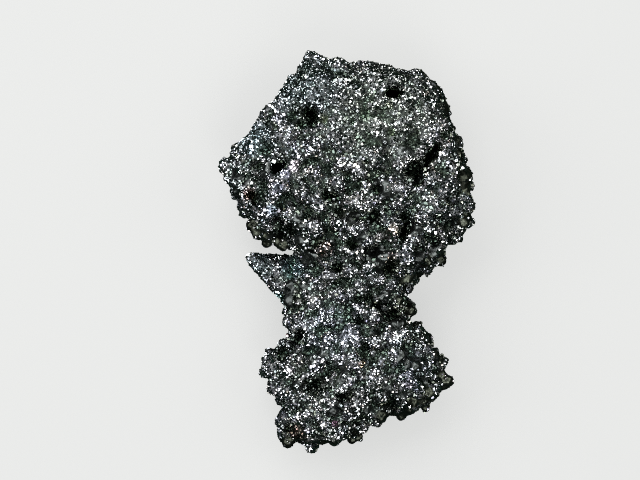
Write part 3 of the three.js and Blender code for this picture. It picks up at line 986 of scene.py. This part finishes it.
front = tree_of(ground)
bead_radii = np.array([radius for _, _, radius in BEADS])
bead_middles = np.array([front_of(front, x, y) for x, y, _ in BEADS])
bead_middles[:, 2] -= bead_radii * (1 - BEAD_PROUD) - BEAD_LIFT
loose, ways, _ = thrown(ground, LOOSE_BEADS)
loose_radii = dice.uniform(*LOOSE_SIZES, LOOSE_BEADS)
loose += ways * LOOSE_LIFT
high_up = loose[:, 2] > LOOSE_ABOVE
bead_middles = np.concatenate([bead_middles, loose[high_up]])
bead_radii = np.concatenate([bead_radii, loose_radii[high_up]])
bead_middles = under_the_crown(bead_middles, bead_radii)

# %% Shape and tint the beads
BEAD_SQUASH = 0.12
BEAD_METAL, BEAD_SHADES, BEAD_ROUGHNESS = (0.12, 0.13, 0.13, 0), (0.6, 1.4), (0.06, 0.2)

corners, faces = ball_form(3)
squash = 1 + BEAD_SQUASH * (dice.random((len(bead_radii), 1, 3)) - 0.5)
placed = corners[None] * squash * bead_radii[:, None, None] + bead_middles[:, None]
rows = copied(faces, np.arange(len(bead_radii)) * len(corners))
owners = np.repeat(np.arange(len(bead_radii)), len(faces))
mesh = mesh_from("smooth_beads", placed.reshape(-1, 3), [rows], [owners])
mesh.shade_smooth()
bead_tints = np.tile(BEAD_METAL, (len(bead_radii), 1))
bead_tints[:, :3] *= dice.uniform(*BEAD_SHADES, (len(bead_radii), 1))
bead_tints[:, 3] = dice.uniform(*BEAD_ROUGHNESS, len(bead_radii))
beads = tinted("smooth_beads", mesh, np.repeat(bead_tints, len(corners), 0))
print("beads:", len(bead_radii), "with", triangles(beads), "triangles")

# %% [markdown]
# ## The skin under the grains
# Between the grains the lumpy ground shows through, and its tint is darkened to a fifth as painted shade
# between the grains, or the stone turns grey from a step away. Satin lumps have no grains, so there the
# ground is itself the surface, a little brighter and smoother. The broken back has a colour of its own:
# bruised, with bright metal and rust in patches.

# %% The ground as a piece
SATIN_METAL, RIM_METAL = (0.042, 0.046, 0.044), (0.031, 0.034, 0.026)
UNDER_GRAIN_SHADE = 0.2
SATIN_ROUGHNESS, UNDER_ROUGHNESS, ROUGHNESS_VARIES = 0.30, 0.40, 0.08

ground_tints = tint_of(spots, normals, proud)
lump_here = lump_at(spots)
satin_here = satin[lump_here]
# Painted shade: the ground between the grains is darkened to a fifth.
ground_tints[:, :3] *= UNDER_GRAIN_SHADE
satin_metal = np.where(rim[lump_here, None], RIM_METAL, SATIN_METAL) * lump_shades[lump_here, None]
ground_tints[satin_here, :3] = satin_metal[satin_here]
ground_tints[:, 3] = np.where(satin_here, SATIN_ROUGHNESS, UNDER_ROUGHNESS)
ground_tints[:, 3] += ROUGHNESS_VARIES * dice.random(len(spots))

# %% The tints of the break
BRUISED, BRIGHT, RUSTY = (0.075, 0.056, 0.053), (0.14, 0.14, 0.147), (0.12, 0.052, 0.036)
SHINE_SIZE, SHINE_EDGES = 2.5, (0.35, 0.8)
RUST_SIZE, RUST_EDGES = 4, (0.5, 0.85)
BRUISED_ROUGHNESS, SHINE_SMOOTHS = 0.65, 0.3

on_the_break = spots[broken]
shine = ramp(drift(on_the_break, SHINE_SIZE, salt=111), *SHINE_EDGES)
rust = ramp(drift(on_the_break, RUST_SIZE, salt=112), *RUST_EDGES)
ground_tints[broken, :3] = mixed(mixed(np.array([BRUISED]), BRIGHT, shine), RUSTY, rust)
ground_tints[broken, 3] = BRUISED_ROUGHNESS - SHINE_SMOOTHS * shine

# %% [markdown]
# ## A map for the ground
# The ground is one closed skin, so its map is made of two flat views, from above on the left half of the
# map and from below on the right half. Steep walls get little of it, but the grains cover those.

# %% Two flat views
HALF_MAP = 0.5
VIEW_SIDES, VIEW_MARGINS = (0.47, 0.96), (0.01, 0.02)

reach = np.abs(spots).max(axis=0)
corner_of = numbers(ground.loops, "vertex_index", 1, np.int32)
flat = (spots[corner_of, :2] / reach[:2] + 1) / 2
faces_down = numbers(ground.polygons, "normal", 3)[:, 2] < 0
sides = numbers(ground.polygons, "loop_total", 1, np.int32)
flat = flat * VIEW_SIDES + VIEW_MARGINS
flat[:, 0] += HALF_MAP * np.repeat(faces_down, sides)
layer = ground.uv_layers.new(name=MAP_NAME)
layer.data.foreach_set("uv", flat.astype(np.float32).ravel())
ground.transform(Matrix.Scale(MM, 4))
ground.shade_smooth()
body = tinted("swollen_ground", ground, ground_tints)
print("triangles in the ground:", triangles(body))


# %% [markdown]
# ## Metal in three finishes
# Specular hematite is a conductor, so its shine has the colour of the metal. All three finishes start the
# same way, as a metal whose colour and roughness are read from the mesh, because each grain has its own.
# Two of them also need a relief that is too fine to model. A height picture could give it, but noise that
# drives a bump needs no picture and stays sharp from any distance.

# %% The start of a finish
def set_inputs(node, values):
    """Gives the inputs of a node their values, by name."""
    for name, value in values.items():
        node.inputs[name].default_value = value


def material(name):
    """A new node material, its nodes, its links and its main shader."""
    made = bpy.data.materials.new(name)
    made.use_nodes = True
    nodes = made.node_tree.nodes
    return made, nodes, made.node_tree.links, nodes["Principled BSDF"]


def tinted_metal(name, metallic):
    """A material that reads its colour and roughness from the mesh, and the node that reads them."""
    made, nodes, links, shader = material(name)
    tint = nodes.new("ShaderNodeAttribute")
    tint.attribute_name = "tint"
    links.new(tint.outputs["Color"], shader.inputs["Base Color"])
    links.new(tint.outputs["Alpha"], shader.inputs["Roughness"])
    set_inputs(shader, {"Metallic": metallic})
    return made, nodes, links, shader, tint


def add_relief(nodes, links, shader, places, scale, detail, strength, depth):
    """A bump from noise at these places, on a shader. Gives the noise."""
    noise = nodes.new("ShaderNodeTexNoise")
    set_inputs(noise, {"Scale": scale, "Detail": detail})
    links.new(places, noise.inputs["Vector"])
    bump = nodes.new("ShaderNodeBump")
    set_inputs(bump, {"Strength": strength, "Distance": depth})
    links.new(noise.outputs["Fac"], bump.inputs["Height"])
    links.new(bump.outputs["Normal"], shader.inputs["Normal"])
    return noise


# %% [markdown]
# ## The finish of the grains and the beads
# A crystal face of hematite is as smooth as glass, and what tells one from the next is its slope, its
# tint and its roughness. The mesh holds all three, so this finish is the bare metal.

# %% The grains and the beads
def grain_material():
    """Bright metal, each grain in its own tint and roughness."""
    made, *_ = tinted_metal("hematite_grains", metallic=1.0)
    return made


# %% [markdown]
# ## The finish of the ground
# Between the grains, and on the satin lumps, the skin is the same metal with a fine tooth: crystals that
# are too small to be seen one by one. Modelled, they would need millions of faces, so they are a bump.

# %% The ground between the grains
TOOTH_SCALE, TOOTH_DETAIL = 2500, 3
TOOTH_STRENGTH, TOOTH_DEPTH = 0.5, 0.0001


def ground_material():
    """Dark metal with a fine tooth."""
    made, nodes, links, shader, _ = tinted_metal("hematite_ground", metallic=1.0)
    place = nodes.new("ShaderNodeTexCoord").outputs["Object"]
    add_relief(nodes, links, shader, place, TOOTH_SCALE, TOOTH_DETAIL, TOOTH_STRENGTH, TOOTH_DEPTH)
    return made


# %% [markdown]
# ## The finish of the broken face
# The break is half earthy, and its fibres fan out from the place where the growth began. Noise alone has
# no direction. So it is laid out by angle and by distance from the middle, and drawn out along the
# distance, which turns its spots into rays. The same noise darkens the colour between the fibres.

# %% The broken face
FIBRES_ROUND, FIBRES_ALONG, FIBRE_DETAIL = 60, 400, 4
FIBRE_STRENGTH, FIBRE_DEPTH, FIBRE_SHADE = 0.7, 0.0002, 0.8
BREAK_METAL = 0.4


def fan_of(nodes, links):
    """The angle and the distance from the middle, stretched, as a place for noise."""
    place = nodes.new("ShaderNodeTexCoord").outputs["Object"]
    split = nodes.new("ShaderNodeSeparateXYZ")
    links.new(place, split.inputs["Vector"])
    angle = nodes.new("ShaderNodeMath")
    angle.operation = "ARCTAN2"
    links.new(split.outputs["Y"], angle.inputs[0])
    links.new(split.outputs["X"], angle.inputs[1])
    length = nodes.new("ShaderNodeVectorMath")
    length.operation = "LENGTH"
    links.new(place, length.inputs[0])
    fan = nodes.new("ShaderNodeCombineXYZ")
    links.new(angle.outputs["Value"], fan.inputs["X"])
    links.new(length.outputs["Value"], fan.inputs["Y"])
    stretched = nodes.new("ShaderNodeMapping")
    set_inputs(stretched, {"Scale": (FIBRES_ROUND, FIBRES_ALONG, 1)})
    links.new(fan.outputs["Vector"], stretched.inputs["Vector"])
    return stretched.outputs["Vector"]


def break_material():
    """Half earthy, with fibres that fan out from the middle."""
    made, nodes, links, shader, tint = tinted_metal("hematite_break", BREAK_METAL)
    fan = fan_of(nodes, links)
    fibres = add_relief(nodes, links, shader, fan, 1, FIBRE_DETAIL, FIBRE_STRENGTH, FIBRE_DEPTH)
    shade = nodes.new("ShaderNodeMix")
    shade.data_type = "RGBA"
    shade.blend_type = "MULTIPLY"
    set_inputs(shade, {"Factor": FIBRE_SHADE})
    links.new(tint.outputs["Color"], shade.inputs["A"])
    links.new(fibres.outputs["Fac"], shade.inputs["B"])
    links.new(shade.outputs["Result"], shader.inputs["Base Color"])
    return made


# %% [markdown]
# ## A finish for each face
# The grains and the beads share one finish. The ground has two, so each of its faces names the one that
# it takes: the broken finish where all its corners are in the break, and the dark metal everywhere else.

# %% Dress the pieces
grains = grain_material()
for piece in crusts + [beads]:
    piece.data.materials.append(grains)
body.data.materials.append(ground_material())
body.data.materials.append(break_material())
in_break = broken[corner_of].reshape(-1)
starts = numbers(body.data.polygons, "loop_start", 1, np.int32)
all_in_break = np.logical_and.reduceat(in_break, starts)
body.data.polygons.foreach_set("material_index", all_in_break.astype(np.int32))
print("faces of the broken back:", int(all_in_break.sum()))

# %% [markdown]
# ## The pieces on the body
# All the pieces are attached to the one body, so they move with it, and its one solid is hidden.

# %% Attach the pieces to the body and hide the solid
pieces = crusts + [beads, body]
for piece in pieces:
    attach(piece, "root")
    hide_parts("hematite")
print("pieces:", len(pieces), "with", sum(triangles(piece) for piece in pieces), "triangles")

# %% [markdown]
# ## A plain studio
# Glitter needs more than one lamp, because a crystal face only flashes for a lamp that it happens to
# mirror. Four soft square lamps stand round the stone at mid height: high lamps would flatten its relief,
# and low ones would leave the front dark. A face that mirrors no lamp mirrors the room, which is dim and
# a little green, as the blacks of this stone are. The floor is pale paper with a glow of its own, so that
# the lamps needn't be strong. It doesn't show in the crystals, or every black face would turn white.

# %% The floor
FLOOR_REACH = 0.6
PAPER, PAPER_ROUGHNESS, PAPER_SHEEN = (0.06, 0.06, 0.058, 1), 0.9, 0.1
GLOW, GLOW_STRENGTH = (0.99, 1, 0.99, 1), 0.6

plane = bpy.data.meshes.new("floor")
around = [(x * FLOOR_REACH, y * FLOOR_REACH, 0) for x, y in ((-1, -1), (1, -1), (1, 1), (-1, 1))]
plane.from_pydata(around, [], [(0, 1, 2, 3)])
floor = linked("floor", plane)
paper, _, _, shader = material("pale_paper")
set_inputs(shader, {
    "Base Color": PAPER, "Roughness": PAPER_ROUGHNESS, "Specular IOR Level": PAPER_SHEEN,
    "Emission Color": GLOW, "Emission Strength": GLOW_STRENGTH,
})
plane.materials.append(paper)
floor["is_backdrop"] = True
floor.visible_glossy = False
print("the floor is", 2 * FLOOR_REACH, "m wide")

# %% The lamps
LAMP_DISTANCE = 0.45
LAMPS = (
    # name, the way to it from the stone, width, power, colour
    ("key", (-0.25, 0.9, 1.0), 0.38, 4.8, (0.98, 0.985, 1.0)),
    ("right", (0.9, 0.2, 1.0), 0.28, 1.6, (0.995, 1.0, 0.985)),
    ("left", (-1.0, 0.15, 0.9), 0.30, 2.7, (0.97, 0.98, 1.0)),
    ("low", (0.1, -0.8, 1.15), 0.28, 2.6, (0.985, 0.995, 1.0)),
)

for name, towards, wide, power, colour in LAMPS:
    data = bpy.data.lights.new(name, "AREA")
    data.shape = "SQUARE"
    data.size = wide
    data.energy = power
    data.color = colour
    lamp = linked(name, data)
    way = Vector(towards).normalized()
    lamp.location = way * LAMP_DISTANCE
    lamp.rotation_euler = way.to_track_quat("Z", "Y").to_euler()
print("lamps:", len(LAMPS))

# %% The room
ROOM_COLOUR, ROOM_LIGHT = (0.5, 1, 0.72, 1), 0.045

world = bpy.data.worlds.new("room")
world.use_nodes = True
set_inputs(world.node_tree.nodes["Background"], {"Color": ROOM_COLOUR, "Strength": ROOM_LIGHT})
bpy.context.scene.world = world

# %% [markdown]
# ## The camera
# The stone lies on its back, so the camera looks straight down on its front. A long lens from a quarter
# of a metre keeps the near lumps from looking swollen. It is placed so that the stone's girth, where its
# outline is widest, is seen at its true scale. A narrow pixel filter and no denoiser leave the glints as
# small and sharp as they are.

# %% Look down on the stone
LENS = 100
SENSOR = 36
VIEW_WIDTH = 87.6
VIEW_MIDDLE = (-3.69, 1.5)
GIRTH = 8.6
NEAREST, FARTHEST = 0.01, 10
PIXEL_FILTER = 1.0

lens = bpy.data.cameras.new("camera")
lens.lens = LENS
lens.sensor_width = SENSOR
lens.clip_start, lens.clip_end = NEAREST, FARTHEST
camera = linked("camera", lens)
away = VIEW_WIDTH * LENS / SENSOR + GIRTH
camera.location = Vector((*VIEW_MIDDLE, away)) * MM
scene = bpy.context.scene
scene.camera = camera
scene.view_settings.view_transform = "Standard"
scene.cycles.use_denoising = False
scene.cycles.filter_width = PIXEL_FILTER
print("the camera is", round(away), "mm above the floor")

# %% [markdown]
# ## The size, once more
# The dressed stone's box is measured, and how far it reaches past the solid's box is printed. The
# dressed stone may outgrow the solid by only a little.

# %% Print how far the boxes differ, and finish
visual_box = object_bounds()
past = (np.array(visual_box) - np.array(solid_box)) / MM
print("the dressed stone's lowest and highest corners less the solid's:", np.round(past, 2).tolist(), "mm")
